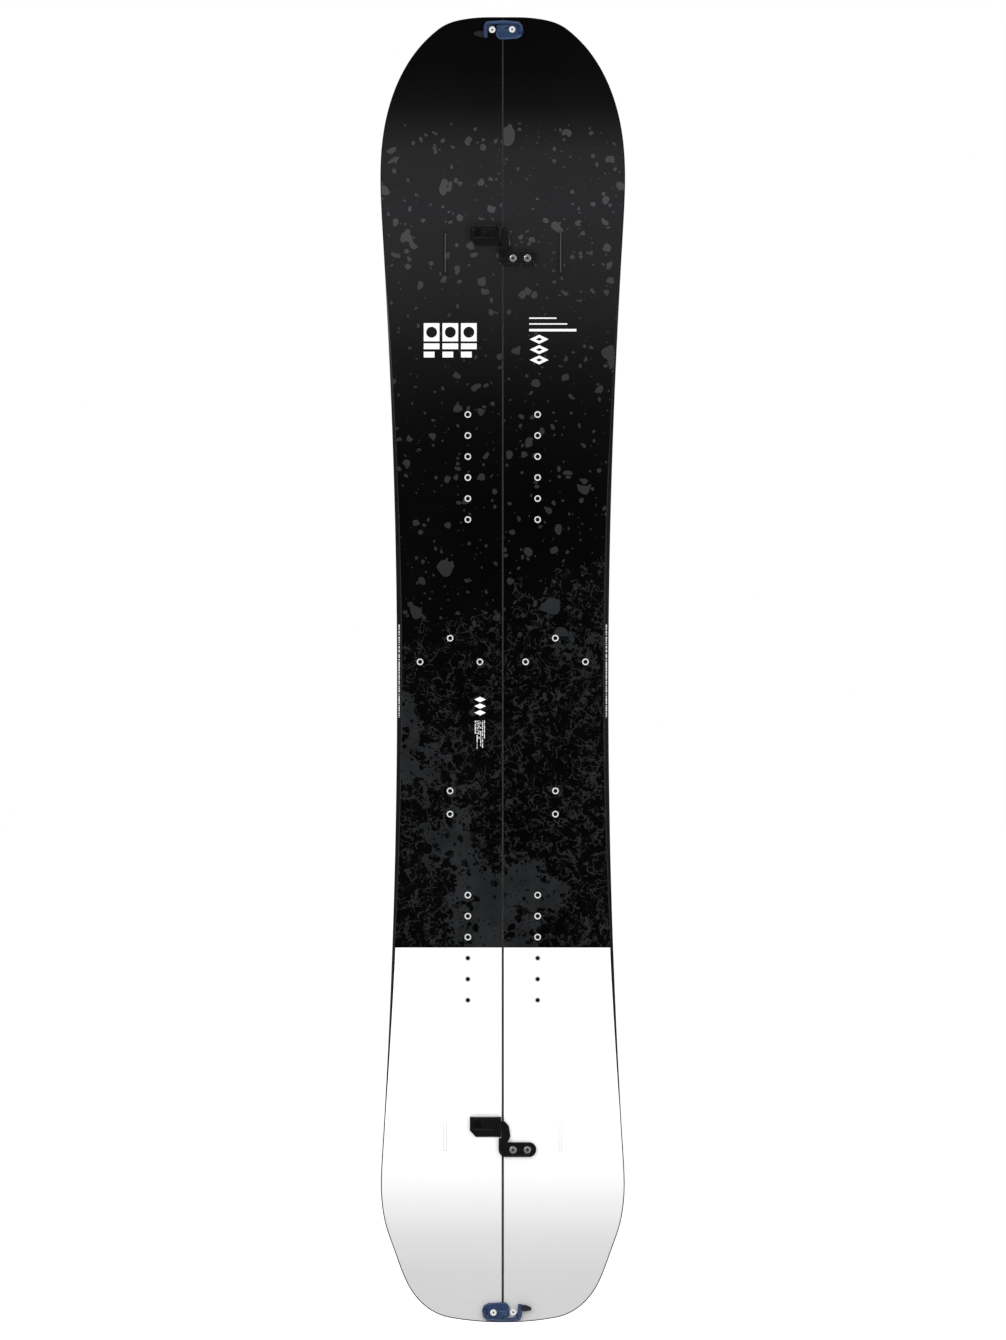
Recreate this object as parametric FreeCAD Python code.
import FreeCAD, Part
import math
import os
from FreeCAD import Vector

# Splitboard: a snowboard in two mirrored halves that lock together along the centre line.
# Frame: +Z points to the nose, the topsheet faces -Y, the base faces +Y and +X is the rider's
# right when the topsheet is looked at. The origin is on the seam, on the topsheet's plane,
# midway between the two groups of binding inserts. All lengths are in millimetres.

os.makedirs("parts", exist_ok=True)

# ---------------------------------------------------------------- board dimensions
SEAM_GAP = 0.5            # gap between the two closed halves
NOSE_FLAT_Z = 600.0       # where the nose starts to rise
NOSE_ANGLE = math.radians(18.0)   # slope of the nose's last, straight part
NOSE_RADIUS = 638.0       # of the topsheet's surface
TAIL_FLAT_Z = -560.0
TAIL_ANGLE = math.radians(15.0)
TAIL_RADIUS = 569.0

TOPSHEET_T = 0.5
LAMINATE_T = 0.7
CORE_FLAT_T = 5.0         # core thickness underfoot
CORE_TIP_T = 2.2          # core thickness at nose and tail
BASE_T = 1.3
EDGE_W = 2.0              # steel edge, seen from the base
SIDEWALL_W = 6.5          # outer sidewall
SEAM_WALL_W = 5.0         # sidewall along the seam

BEVEL_TOP_Z = 555.0       # the sidewall's bevel runs between these
BEVEL_LOW_Z = -455.0
BEVEL_END = 0.15          # how far it moves the topsheet in at its ends
BEVEL_RISE = 5.0          # and how much further halfway along
BEVEL_DEPTH = 4.0         # from the core's top down to the bevel's lower line
BEVEL_FOOT_OUT = 0.3      # the lower line runs this far outside the outline
BEVEL_STEPS = 24

RIB_X = 69.7              # raised ribs of the topsheet
RIB_SPANS = ((524.5, 574.5), (-535.8, -502.5))   # z range of each
RIB_W = 3.0
RIB_H = 0.45
RIB_SUNK = 0.2

# Outline of the right half from nose to tail: (x, z)
OUTLINE = [
    (0.00, 832.55), (27.83, 832.24), (48.89, 829.75), (63.87, 825.81),
    (72.52, 821.68), (85.07, 812.24), (99.31, 798.18), (112.08, 781.57),
    (123.26, 762.33), (132.62, 740.48), (139.90, 716.27), (144.84, 690.11),
    (147.45, 661.36), (147.82, 628.76), (146.22, 590.41), (143.69, 546.14),
    (141.25, 501.83), (138.97, 457.71), (136.88, 413.68), (135.00, 369.67),
    (133.32, 325.68), (131.86, 281.70), (130.62, 237.75), (129.61, 193.82),
    (128.83, 149.90), (128.28, 105.98), (127.97, 62.04), (127.89, 18.09),
    (128.03, -25.87), (128.40, -69.84), (128.99, -113.82), (129.80, -157.80),
    (130.83, -201.79), (132.07, -245.79), (133.52, -289.78), (135.19, -333.79),
    (137.06, -377.79), (139.14, -421.80), (141.42, -465.80), (143.90, -509.57),
    (146.57, -552.09), (147.31, -582.20), (145.39, -606.24), (141.01, -627.78),
    (132.24, -653.02), (120.91, -683.71), (112.66, -700.73), (104.35, -712.51),
    (94.77, -722.07), (84.41, -729.27), (73.62, -734.17), (58.98, -737.56),
    (29.97, -741.15), (0.00, -742.30),
]
INSET_STEPS = 72          # points along an inset outline

HALF_GAP = SEAM_GAP / 2
# The knee is where the topsheet's flat line and its sloped tip line would meet.
NOSE_KNEE = NOSE_FLAT_Z + NOSE_RADIUS * math.tan(NOSE_ANGLE / 2)
TAIL_KNEE = TAIL_FLAT_Z - TAIL_RADIUS * math.tan(TAIL_ANGLE / 2)
FAR_Z = 900.0             # beyond both tips
WIDE = 170.0              # beyond the widest outline

# Depths of the layer boundaries below the topsheet's surface: (underfoot, at the tips)
TOPSHEET_DEPTH = (0.0, 0.0)
TOP_LAMINATE_DEPTH = (TOPSHEET_T, TOPSHEET_T)
CORE_DEPTH = (TOPSHEET_T + LAMINATE_T, TOPSHEET_T + LAMINATE_T)
LOW_LAMINATE_DEPTH = (CORE_DEPTH[0] + CORE_FLAT_T, CORE_DEPTH[1] + CORE_TIP_T)
BASE_DEPTH = tuple(depth + LAMINATE_T for depth in LOW_LAMINATE_DEPTH)
BOTTOM_DEPTH = tuple(depth + BASE_T for depth in BASE_DEPTH)


# ---------------------------------------------------------------- shape helpers
# The rest is drawn in local axes: u across, v along the board and w out of the topsheet.
BELOW, ABOVE = -1.0, 12.0     # w levels clear of the hardware, for cuts that run out of it


def line(start, end):
    return Part.LineSegment(start, end).toShape()


def cylinder(radius, u, v, w0, w1):
    return Part.makeCylinder(radius, w1 - w0, Vector(u, v, w0), Vector(0, 0, 1))


def cone(radius0, radius1, u, v, w0, w1):
    return Part.makeCone(radius0, radius1, w1 - w0, Vector(u, v, w0), Vector(0, 0, 1))


def prism(points, direction):
    """A polygon, closed here, extruded along a vector."""
    return Part.Face(Part.makePolygon(points + points[:1])).extrude(direction)


def hex_socket(across_flats, u, v, floor):
    """Cutter for a hexagonal socket, open at the top."""
    radius = across_flats / math.sqrt(3)
    turns = [math.radians(60 * i) for i in range(6)]
    points = [
        Vector(u + radius * math.cos(turn), v + radius * math.sin(turn), floor) for turn in turns
    ]
    return prism(points, Vector(0, 0, ABOVE - floor))


def slab(corners, w0, w1):
    """A plate with rounded corners, from (u, v, corner radius) going round."""
    rounded = []              # (first point, last point, arc's middle or None) of each corner
    for i, (u, v, radius) in enumerate(corners):
        before, after = corners[i - 1], corners[(i + 1) % len(corners)]
        here = Vector(u, v, w0)
        back = (Vector(before[0], before[1], w0) - here).normalize()
        ahead = (Vector(after[0], after[1], w0) - here).normalize()
        if radius <= 0:
            rounded.append((here, here, None))
            continue
        half_angle = back.getAngle(ahead) / 2
        setback = radius / math.tan(half_angle)
        bisector = (back + ahead).normalize()
        middle = here + bisector * (radius / math.sin(half_angle) - radius)
        rounded.append((here + back * setback, here + ahead * setback, middle))
    edges = []
    for i, (first, last, middle) in enumerate(rounded):
        if middle is not None:
            edges.append(Part.Arc(first, middle, last).toShape())
        following = rounded[(i + 1) % len(rounded)][0]
        if (following - last).Length > 1e-6:
            edges.append(line(last, following))
    return Part.Face(Part.Wire(edges)).extrude(Vector(0, 0, w1 - w0))


# ---------------------------------------------------------------- places on the topsheet
def place(origin, across, along):
    """Placement that lays local u on across, v on along and w on their normal."""
    out = across.cross(along)
    return FreeCAD.Placement(FreeCAD.Matrix(
        across.x, along.x, out.x, origin.x,
        across.y, along.y, out.y, origin.y,
        across.z, along.z, out.z, origin.z,
        0, 0, 0, 1,
    ))


def flat_place(z):
    return place(Vector(0, 0, z), Vector(1, 0, 0), Vector(0, 0, 1))


def tip_place(sign, angle, knee, z):
    """On the sloped topsheet of the nose (sign 1) or tail (sign -1), v towards the tip."""
    return place(
        Vector(0, -abs(z - knee) * math.tan(angle), z),
        Vector(sign, 0, 0),
        Vector(0, -math.sin(angle), sign * math.cos(angle)),
    )


def put(where, shape):
    moved = shape.copy()
    moved.Placement = where.multiply(moved.Placement)
    return moved


FLAT = flat_place(0)
NOSE_HOOK = flat_place(574.2)
TAIL_HOOK = flat_place(-503.7)
# The tail's clip is turned half a turn, so its u runs towards the left half.
NOSE_CLIP = tip_place(1, NOSE_ANGLE, NOSE_KNEE, 819.1)
TAIL_CLIP = tip_place(-1, TAIL_ANGLE, TAIL_KNEE, -731.5)


# ---------------------------------------------------------------- outline and its insets
def spline(points):
    """A smooth curve through (x, z) points, with its parameter running along its chords."""
    lengths = [0.0]
    for (x0, z0), (x1, z1) in zip(points, points[1:]):
        lengths.append(lengths[-1] + math.hypot(x1 - x0, z1 - z0))
    curve = Part.BSplineCurve()
    curve.interpolate(
        Points=[Vector(x, 0, z) for x, z in points],
        Parameters=lengths,
        InitialTangent=Vector(1, 0, 0),
        FinalTangent=Vector(-1, 0, 0),
        Scale=False,
    )
    return curve


OUTER = spline(OUTLINE)


def outline_parameter(fraction):
    first, last = OUTER.FirstParameter, OUTER.LastParameter
    return first + (last - first) * fraction


def inset_points(inset):
    """Points of the outline moved inwards, nose to tail, with both ends on the seam plane."""
    points = []
    for i in range(INSET_STEPS + 1):
        parameter = outline_parameter(i / INSET_STEPS)
        point, tangent = OUTER.value(parameter), OUTER.tangent(parameter)[0]
        points.append((point.x + inset * tangent.z, point.z - inset * tangent.x))
    points[0] = (0.0, points[0][1])
    points[-1] = (0.0, points[-1][1])
    return points


def outline_x(z):
    """Half width of the board at z, on its long side, by bisection."""
    low, high = 0.15, 0.85
    for _ in range(60):
        middle = (low + high) / 2
        if OUTER.value(outline_parameter(middle)).z > z:
            low = middle
        else:
            high = middle
    return OUTER.value(outline_parameter((low + high) / 2)).x


def long_box(x, width):
    """A box longer than the board and taller than its side view."""
    return Part.makeBox(width, 240, 2 * FAR_Z, Vector(x, -140, -FAR_Z))


def footprint(curve, seam_x):
    """The area between a curve and the line x = seam_x, as a prism through the board."""
    edge = curve.toShape()
    start, end = edge.valueAt(edge.FirstParameter), edge.valueAt(edge.LastParameter)
    solid = Part.Face(Part.Wire([edge, line(end, start)])).extrude(Vector(0, 200, 0))
    solid.translate(Vector(0, -120, 0))
    return solid.common(long_box(seam_x, WIDE))


# ---------------------------------------------------------------- side view
def profile(flat, tip):
    """Side-view line at a depth below the topsheet: its edges, tail end and nose end."""
    bends = []
    for sign, angle, start, knee in (
        (-1, TAIL_ANGLE, TAIL_FLAT_Z, TAIL_KNEE),
        (1, NOSE_ANGLE, NOSE_FLAT_Z, NOSE_KNEE),
    ):
        # The arc touches the flat line at start and the tip line equally far from the crossing.
        crossing = knee + sign * (tip / math.cos(angle) - flat) / math.tan(angle)
        reach = abs(crossing - start)
        radius = reach / math.tan(angle / 2)
        end = Vector(0, flat - reach * math.sin(angle), crossing + 0.0)
        end.z = start + sign * (reach + reach * math.cos(angle))
        middle = Vector(
            0,
            flat - radius + radius * math.cos(angle / 2),
            start + sign * radius * math.sin(angle / 2),
        )
        far = Vector(0, end.y - (FAR_Z - abs(end.z)) * math.tan(angle), sign * FAR_Z)
        bends.append((Vector(0, flat, start), middle, end, far))
    tail_start, tail_middle, tail_end, tail_far = bends[0]
    nose_start, nose_middle, nose_end, nose_far = bends[1]
    edges = [
        line(tail_far, tail_end),
        Part.Arc(tail_end, tail_middle, tail_start).toShape(),
        line(tail_start, nose_start),
        Part.Arc(nose_start, nose_middle, nose_end).toShape(),
        line(nose_end, nose_far),
    ]
    return edges, tail_far, nose_far


def band(upper, lower):
    """The slab between two side-view lines, across the right half."""
    upper_edges, upper_tail, upper_nose = profile(*upper)
    lower_edges, lower_tail, lower_nose = profile(*lower)
    edges = upper_edges + [line(upper_nose, lower_nose)]
    edges += lower_edges + [line(lower_tail, upper_tail)]
    solid = Part.Face(Part.Wire(Part.__sortEdges__(edges))).extrude(Vector(WIDE + 2, 0, 0))
    solid.translate(Vector(-1, 0, 0))
    return solid


# ---------------------------------------------------------------- sidewall bevel
def bevel_inset(z):
    """Signed shift of the bevel's upper line from the outline, inwards."""
    along = (z - BEVEL_LOW_Z) / (BEVEL_TOP_Z - BEVEL_LOW_Z)
    return -BEVEL_END - BEVEL_RISE * math.sin(math.pi * along)


def bevel_foot(z):
    return BEVEL_FOOT_OUT


def bevel_wire(y, shift):
    """Closed wire at y: the outline moved out by shift(z), and three sides off the board."""
    points = []
    for i in range(BEVEL_STEPS + 1):
        z = BEVEL_LOW_Z + (BEVEL_TOP_Z - BEVEL_LOW_Z) * i / BEVEL_STEPS
        points.append(Vector(outline_x(z) + shift(z), y, z))
    curve = Part.BSplineCurve()
    curve.interpolate(Points=points)
    far_nose, far_tail = Vector(WIDE, y, BEVEL_TOP_Z), Vector(WIDE, y, BEVEL_LOW_Z)
    return Part.Wire([
        curve.toShape(),
        line(points[-1], far_nose),
        line(far_nose, far_tail),
        line(far_tail, points[0]),
    ])


def layer_trim():
    """Cutter that moves the layers above the core in to the bevel's upper line."""
    above = 3.0
    face = Part.Face(bevel_wire(-above, bevel_inset))
    return face.extrude(Vector(0, above + CORE_DEPTH[0], 0))


def sidewall_bevel():
    upper = bevel_wire(CORE_DEPTH[0], bevel_inset)
    lower = bevel_wire(CORE_DEPTH[0] + BEVEL_DEPTH, bevel_foot)
    return Part.makeLoft([upper, lower], True, True)


# ---------------------------------------------------------------- layers of the right half
OUTER_AREA = footprint(OUTER, HALF_GAP)
INSIDE_EDGE = footprint(spline(inset_points(EDGE_W)), HALF_GAP + EDGE_W)
CORE_AREA = footprint(spline(inset_points(SIDEWALL_W)), HALF_GAP + SEAM_WALL_W)
TRIM = layer_trim()


def topsheet():
    sheet = OUTER_AREA.common(band(TOPSHEET_DEPTH, TOP_LAMINATE_DEPTH)).cut(TRIM)
    half = RIB_W / 2
    corner = half * 0.98      # nearly full-round ends
    for z0, z1 in RIB_SPANS:
        rib = slab([
            (RIB_X - half, z0, corner), (RIB_X + half, z0, corner),
            (RIB_X + half, z1, corner), (RIB_X - half, z1, corner),
        ], -RIB_SUNK, RIB_H)
        sheet = sheet.fuse(put(FLAT, rib))
    return sheet


def top_laminate():
    return OUTER_AREA.common(band(TOP_LAMINATE_DEPTH, CORE_DEPTH)).cut(TRIM)


def sidewalls():
    """The rim round the core, as (outer sidewall, seam sidewall)."""
    rim = OUTER_AREA.cut(CORE_AREA).common(band(CORE_DEPTH, LOW_LAMINATE_DEPTH))
    seam_strip = long_box(HALF_GAP - 1, SEAM_WALL_W + 1)
    return rim.cut(seam_strip).cut(sidewall_bevel()), rim.common(seam_strip)


def steel_edge():
    return OUTER_AREA.cut(INSIDE_EDGE).common(band(LOW_LAMINATE_DEPTH, BOTTOM_DEPTH))


# ---------------------------------------------------------------- threaded inserts
INSERT_PITCH = 25.4       # binding inserts along the board
INSERT_COLUMN_X = 42.2
STANCE_HALF = 290.5       # from the origin to the middle of each group
TOUR_PAIR_Z = 55.0
RISER_X = 63.7

# (x, z) on the right half; the left half mirrors them
BOARD_INSERTS = {
    "front_inserts": [
        (INSERT_COLUMN_X, STANCE_HALF + INSERT_PITCH * (i - 2.5)) for i in range(6)
    ],
    "rear_inserts": [
        (INSERT_COLUMN_X, -STANCE_HALF + INSERT_PITCH * (i - 2.5)) for i in range(6)
    ],
    "touring_inserts": [
        (63.6, 83.6), (27.6, TOUR_PAIR_Z), (100.0, TOUR_PAIR_Z),
        (RISER_X, -101.0), (RISER_X, -129.1),
    ],
}
CORE_UNDERFOOT_W, CORE_TIP_W = [-depth for depth in LOW_LAMINATE_DEPTH]   # core's underside

# Radii of barrel, flange and bore; low is the insert's lower end and depth is the bore's.
M6_THREAD = dict(
    low=CORE_UNDERFOOT_W, barrel=4.0, flange=7.5, flange_t=1.0, bore=2.5, depth=5.5)
HOOK_THREAD = dict(
    low=CORE_UNDERFOOT_W, barrel=3.6, flange=6.2, flange_t=0.8, bore=2.5, depth=5.3)
CLIP_THREAD = dict(
    low=CORE_TIP_W, barrel=3.4, flange=3.4, flange_t=0.8, bore=2.0, depth=2.9)

# Screw places in the local axes of a clip or hook: (u, v)
CLIP_STUD = (-12.7, 0)
CLIP_SCREW = (11.3, 0)
RECEIVER_SCREW = (-30.4, 0.0)
ARM_SCREWS = [(12.4, -31.3), (29.8, -31.3)]


def insert(where, u, v, low, barrel, flange, flange_t, bore, depth):
    """A bored insert with a flange at its lower end, and the pocket that it fills."""
    body = cylinder(barrel, u, v, low + flange_t, 0)
    body = body.fuse(cylinder(flange, u, v, low, low + flange_t)).removeSplitter()
    bored = body.cut(cylinder(bore, u, v, -depth, ABOVE))
    return put(where, bored), put(where, body)


def half_inserts(side):
    """All inserts of one half, side -1 for left, as named groups of (solid, pocket)."""
    groups = {
        name: [insert(FLAT, side * x, z, **M6_THREAD) for x, z in spots]
        for name, spots in BOARD_INSERTS.items()
    }
    if side < 0:
        hook_spots, nose_spot, tail_spot = [RECEIVER_SCREW], CLIP_STUD, CLIP_SCREW
    else:
        hook_spots, nose_spot, tail_spot = ARM_SCREWS, CLIP_SCREW, CLIP_STUD
    groups["hardware_inserts"] = [
        insert(hook, *spot, **HOOK_THREAD) for hook in (NOSE_HOOK, TAIL_HOOK) for spot in hook_spots
    ] + [
        insert(NOSE_CLIP, *nose_spot, **CLIP_THREAD),
        insert(TAIL_CLIP, *tail_spot, **CLIP_THREAD),
    ]
    return groups


# ---------------------------------------------------------------- clips
# The same clip is used twice. At the nose the plate and lever are on the right half and the
# stud on the left; at the tail the whole clip is turned half a turn about the normal.
PIVOT = (21.9, -1.4)
PIVOT_HOLE_R = 1.25
PLATE_T = 3.0
EAR_T = 1.1               # thin part of the plate under the lever's pivot
LEVER_W = (1.3, 4.3)      # w range
CLIP_HEAD_R = 3.9
CLIP_HEAD_H = 1.4         # screw head above the plate
HEAD_RECESS = 0.35        # and below the plate's top
CLIP_SHANK_R = 1.95
CLIP_SHANK_DEPTH = 2.6
CLIP_HEX = 2.5
STUD_NECK_H = 4.6
STUD_TOP = 6.3


def clear_other_half(shape):
    """Lifts the underside 0.3 clear of the other half's topsheet, up to u = 0.4."""
    return shape.cut(Part.makeBox(25.4, 60, 0.3, Vector(-25, -45, 0)))


def clip_plate():
    plate = slab([
        (-7.6, 4.6, 2.6), (-1.5, 5.8, 8.0), (9.0, 5.7, 12.0), (17.6, 4.9, 2.6),
        (18.6, 0.2, 1.0), (18.9, -5.4, 0.4), (24.2, -5.4, 1.2), (22.8, -9.0, 2.6),
        (17.5, -12.0, 4.0), (4.0, -12.9, 12.0), (-4.6, -13.0, 5.0), (-8.4, -7.0, 3.2),
    ], 0, PLATE_T)
    plate = plate.cut(cylinder(2.85, *PIVOT, EAR_T, ABOVE))
    ear = slab([
        (17.0, 1.6, 0.5), (22.2, 2.0, 2.2), (25.0, -0.5, 2.2), (24.6, -6.0, 1.0),
        (17.0, -6.0, 0.5),
    ], 0, EAR_T)
    plate = plate.fuse(ear).removeSplitter()
    plate = plate.cut(cylinder(PIVOT_HOLE_R, *PIVOT, BELOW, ABOVE))
    plate = plate.cut(cylinder(2.35, *PIVOT, BELOW, 0.6))    # room for the pin's lower head
    plate = clear_other_half(plate)
    plate = plate.cut(cylinder(2.05, *CLIP_SCREW, BELOW, ABOVE))
    return plate.cut(cylinder(CLIP_HEAD_R + 0.6, *CLIP_SCREW, PLATE_T - HEAD_RECESS, ABOVE))


def lever_tang():
    """The lever's tongue inside the grip."""
    return slab([
        (-27.4, -7.4, 0.4), (-27.4, -4.2, 0.4), (-21.5, -3.4, 0.3), (-21.5, -8.2, 0.3),
    ], 2.0, 3.6)


def clip_lever():
    lever = slab([
        (-22.9, -10.6, 1.2), (-23.1, 4.0, 9.0), (-20.6, 9.3, 2.6), (0.0, 11.0, 60.0),
        (19.6, 9.3, 3.2), (24.0, 4.4, 4.0), (24.3, -1.4, 0.3), (24.3, -3.8, 2.2),
        (19.5, -3.8, 2.2), (19.6, 2.6, 1.0), (18.2, 5.9, 1.6), (0.0, 7.2, 60.0),
        (-15.4, 6.0, 0.3), (-15.4, 0.8, 0.8), (-18.3, 0.4, 0.8), (-18.4, -10.6, 1.0),
    ], *LEVER_W)
    lever = lever.fuse(lever_tang()).removeSplitter()
    return lever.cut(cylinder(PIVOT_HOLE_R, *PIVOT, BELOW, ABOVE))


def lever_grip():
    grip = slab([
        (-22.9, -9.6, 0.6), (-22.95, -2.6, 0.6), (-27.6, -1.9, 2.0), (-34.4, -3.6, 1.6),
        (-34.6, -6.4, 1.5), (-28.0, -9.2, 2.5),
    ], 0.9, 5.0)
    return grip.cut(lever_tang()).cut(clip_lever())


def pivot_pin():
    pin = cylinder(2.2, *PIVOT, 0.05, 0.5).fuse(cylinder(1.2, *PIVOT, 0.5, 4.4))
    return pin.fuse(cylinder(1.9, *PIVOT, 4.4, 4.9)).removeSplitter()


def clip_screw():
    head = cylinder(CLIP_HEAD_R, *CLIP_SCREW, PLATE_T - HEAD_RECESS, PLATE_T + CLIP_HEAD_H)
    shank = cylinder(CLIP_SHANK_R, *CLIP_SCREW, -CLIP_SHANK_DEPTH, PLATE_T)
    screw = head.fuse(shank).removeSplitter()
    return screw.cut(hex_socket(CLIP_HEX, *CLIP_SCREW, PLATE_T + 0.2))


def clip_stud():
    collar = cylinder(3.4, *CLIP_STUD, 0, 0.9)
    neck = cylinder(2.5, *CLIP_STUD, 0, STUD_NECK_H)
    shank = cylinder(CLIP_SHANK_R, *CLIP_STUD, -CLIP_SHANK_DEPTH, 0.5)
    head = cylinder(CLIP_HEAD_R, *CLIP_STUD, STUD_NECK_H, STUD_TOP)
    stud = collar.fuse(neck).fuse(shank).fuse(head).removeSplitter()
    return stud.cut(hex_socket(CLIP_HEX, *CLIP_STUD, 5.0))


# ---------------------------------------------------------------- hooks
# A tongue on the right half's arm slides sideways into a pocket on the left half's receiver
# and stops the halves shearing along the board and through its thickness.
POCKET_U = -16.0          # deep end
POCKET_V = (-6.2, 3.7)
POCKET_ROOF = 4.5
TONGUE_PLAY = 0.3         # on both sides and under the pocket's roof
TONGUE_U = (-12.6, -1.0)
TONGUE_LOW = 0.5
NECK_T = POCKET_ROOF - TONGUE_PLAY
ARM_T = 3.2

RECEIVER_T = 6.5
RECEIVER_U = (-39.8, -1.9)    # outer and seam ends
RECEIVER_TOP_V = 8.9          # side towards the nose
RECEIVER_SEAT = 3.0           # under the screw's head

HOOK_HOLE_R = 2.6
HOOK_SHANK_R = 2.45
HOOK_SHANK_DEPTH = 4.9
HOOK_HEX = 3.0
ARM_SINK_R = 5.5              # countersink at the arm's top


def hook_receiver():
    outer_u, seam_u = RECEIVER_U
    section = [Vector(outer_u, v, w) for v, w in (
        (RECEIVER_TOP_V, 0), (RECEIVER_TOP_V, RECEIVER_T - 0.8), (8.1, RECEIVER_T),
        (-7.6, RECEIVER_T), (-15.6, 1.6), (-15.9, 0),
    )]
    body = prism(section, Vector(seam_u - outer_u, 0, 0))
    # slanted outer corner on the side towards the tail
    body = body.cut(slab([
        (-45, -6.6, 0), (-45, -25, 0), (-30.6, -18.2, 0), (-32.4, -15.9, 0), (outer_u, -7.8, 0),
    ], BELOW, ABOVE))
    # bevelled outer edge
    bevel = [Vector(u, 12, RECEIVER_T + w) for u, w in ((-41, -1.2), (-38.3, 0.6), (-41, 0.6))]
    body = body.cut(prism(bevel, Vector(0, -30, 0)))
    # groove across the top, and the raised lip beside it at the seam
    groove = Part.makeBox(1.6, 30, 3, Vector(-8.4, -17, RECEIVER_T - 1.0))
    lip = slab([
        (-5.6, -9.0, 0.6), (seam_u, -9.0, 0.6),
        (seam_u, RECEIVER_TOP_V, 0.6), (-5.6, RECEIVER_TOP_V, 0.6),
    ], 0, 7.7)
    body = body.cut(groove).fuse(lip).removeSplitter()
    low, high = POCKET_V
    body = body.cut(Part.makeBox(20, high - low, POCKET_ROOF, Vector(POCKET_U, low, 0)))
    body = body.cut(cylinder(5.2, *RECEIVER_SCREW, RECEIVER_SEAT, ABOVE))
    return body.cut(cylinder(HOOK_HOLE_R, *RECEIVER_SCREW, BELOW, ABOVE))


def hook_arm():
    plate = slab([
        (-5.0, -22.0, 1.2), (40.5, -22.0, 8.8), (40.5, -39.9, 8.8), (-5.0, -39.9, 9.0),
    ], 0, ARM_T)
    neck = slab([
        (-5.0, -17.2, 1.5), (-1.5, -16.6, 0.3), (-1.5, 3.4, 0.6), (2.4, 3.2, 1.5),
        (7.4, -2.2, 3.0), (9.4, -15.0, 6.0), (5.6, -22.4, 1.0), (8.0, -30.0, 2.0),
        (-5.0, -30.0, 2.0),
    ], 0, NECK_T)
    # slopes from the neck's top down to the plate and down its outer side
    ramp = prism([Vector(-12, v, w) for v, w in (
        (-19.5, 4.3), (-30.2, ARM_T), (-40, ARM_T), (-40, 9), (-19.5, 9),
    )], Vector(40, 0, 0))
    side = prism([Vector(u, -16, w) for u, w in (
        (6.0, 4.3), (11, 1.6), (11, 9), (6.0, 9),
    )], Vector(0, 22, 0))
    low, high = POCKET_V[0] + TONGUE_PLAY, POCKET_V[1] - TONGUE_PLAY
    tongue = Part.makeBox(
        TONGUE_U[1] - TONGUE_U[0], high - low, NECK_T - TONGUE_LOW,
        Vector(TONGUE_U[0], low, TONGUE_LOW),
    )
    arm = neck.cut(ramp).cut(side).fuse(plate).fuse(tongue).removeSplitter()
    arm = clear_other_half(arm)
    for spot in ARM_SCREWS:
        arm = arm.cut(cylinder(HOOK_HOLE_R, *spot, BELOW, ABOVE))
        arm = arm.cut(cone(HOOK_HOLE_R, ARM_SINK_R, *spot, 0.6, ARM_T + 0.0001))
        arm = arm.cut(cylinder(ARM_SINK_R, *spot, ARM_T, ABOVE))
    return arm


def receiver_screw():
    head = cylinder(4.5, *RECEIVER_SCREW, RECEIVER_SEAT, 5.2)
    shank = cylinder(HOOK_SHANK_R, *RECEIVER_SCREW, -HOOK_SHANK_DEPTH, 3.5)
    screw = head.fuse(shank).removeSplitter()
    return screw.cut(hex_socket(HOOK_HEX, *RECEIVER_SCREW, 4.0))


def arm_screws():
    screws = []
    for spot in ARM_SCREWS:
        head = cone(HOOK_SHANK_R, 5.2, *spot, 0.75, ARM_T)
        shank = cylinder(HOOK_SHANK_R, *spot, -HOOK_SHANK_DEPTH, 1.0)
        screw = head.fuse(shank).removeSplitter()
        screws.append(screw.cut(hex_socket(HOOK_HEX, *spot, 1.8)))
    return Part.makeCompound(screws)


# ---------------------------------------------------------------- assembly
def board_nodes():
    outer_sidewall, seam_sidewall = sidewalls()
    drilled = {
        "topsheet": topsheet(),
        "top_laminate": top_laminate(),
        "wood_core": CORE_AREA.common(band(CORE_DEPTH, LOW_LAMINATE_DEPTH)),
    }
    plain = {
        "outer_sidewall": outer_sidewall,
        "seam_sidewall": seam_sidewall,
        "bottom_laminate": INSIDE_EDGE.common(band(LOW_LAMINATE_DEPTH, BASE_DEPTH)),
        "base": INSIDE_EDGE.common(band(BASE_DEPTH, BOTTOM_DEPTH)),
        "steel_edge": steel_edge(),
    }
    nodes = {}
    for side, half in ((-1, "left"), (1, "right")):
        groups = half_inserts(side)
        pockets = Part.makeCompound([pocket for made in groups.values() for _, pocket in made])
        for name, layer in {**drilled, **plain}.items():
            if side < 0:
                layer = layer.mirror(Vector(0, 0, 0), Vector(1, 0, 0))
            nodes[f"{half}_{name}"] = layer.cut(pockets) if name in drilled else layer
        for name, made in groups.items():
            nodes[f"{half}_{name}"] = Part.makeCompound([solid for solid, _ in made])
    return nodes


def hardware_nodes():
    clip_pieces = (clip_plate, clip_lever, lever_grip, pivot_pin, clip_screw, clip_stud)
    hook_pieces = (hook_receiver, hook_arm, receiver_screw, arm_screws)
    nodes = {}
    for end, clip, hook in (("nose", NOSE_CLIP, NOSE_HOOK), ("tail", TAIL_CLIP, TAIL_HOOK)):
        for where, pieces in ((clip, clip_pieces), (hook, hook_pieces)):
            for piece in pieces:
                nodes[f"{end}_{piece.__name__}"] = put(where, piece())
    return nodes


for name, shape in {**board_nodes(), **hardware_nodes()}.items():
    found = shape.Solids
    piece = found[0] if len(found) == 1 else Part.makeCompound(found)
    if not found or not piece.isValid():
        raise RuntimeError(name + " isn't a valid solid")
    piece.exportStep("parts/" + name + ".step")
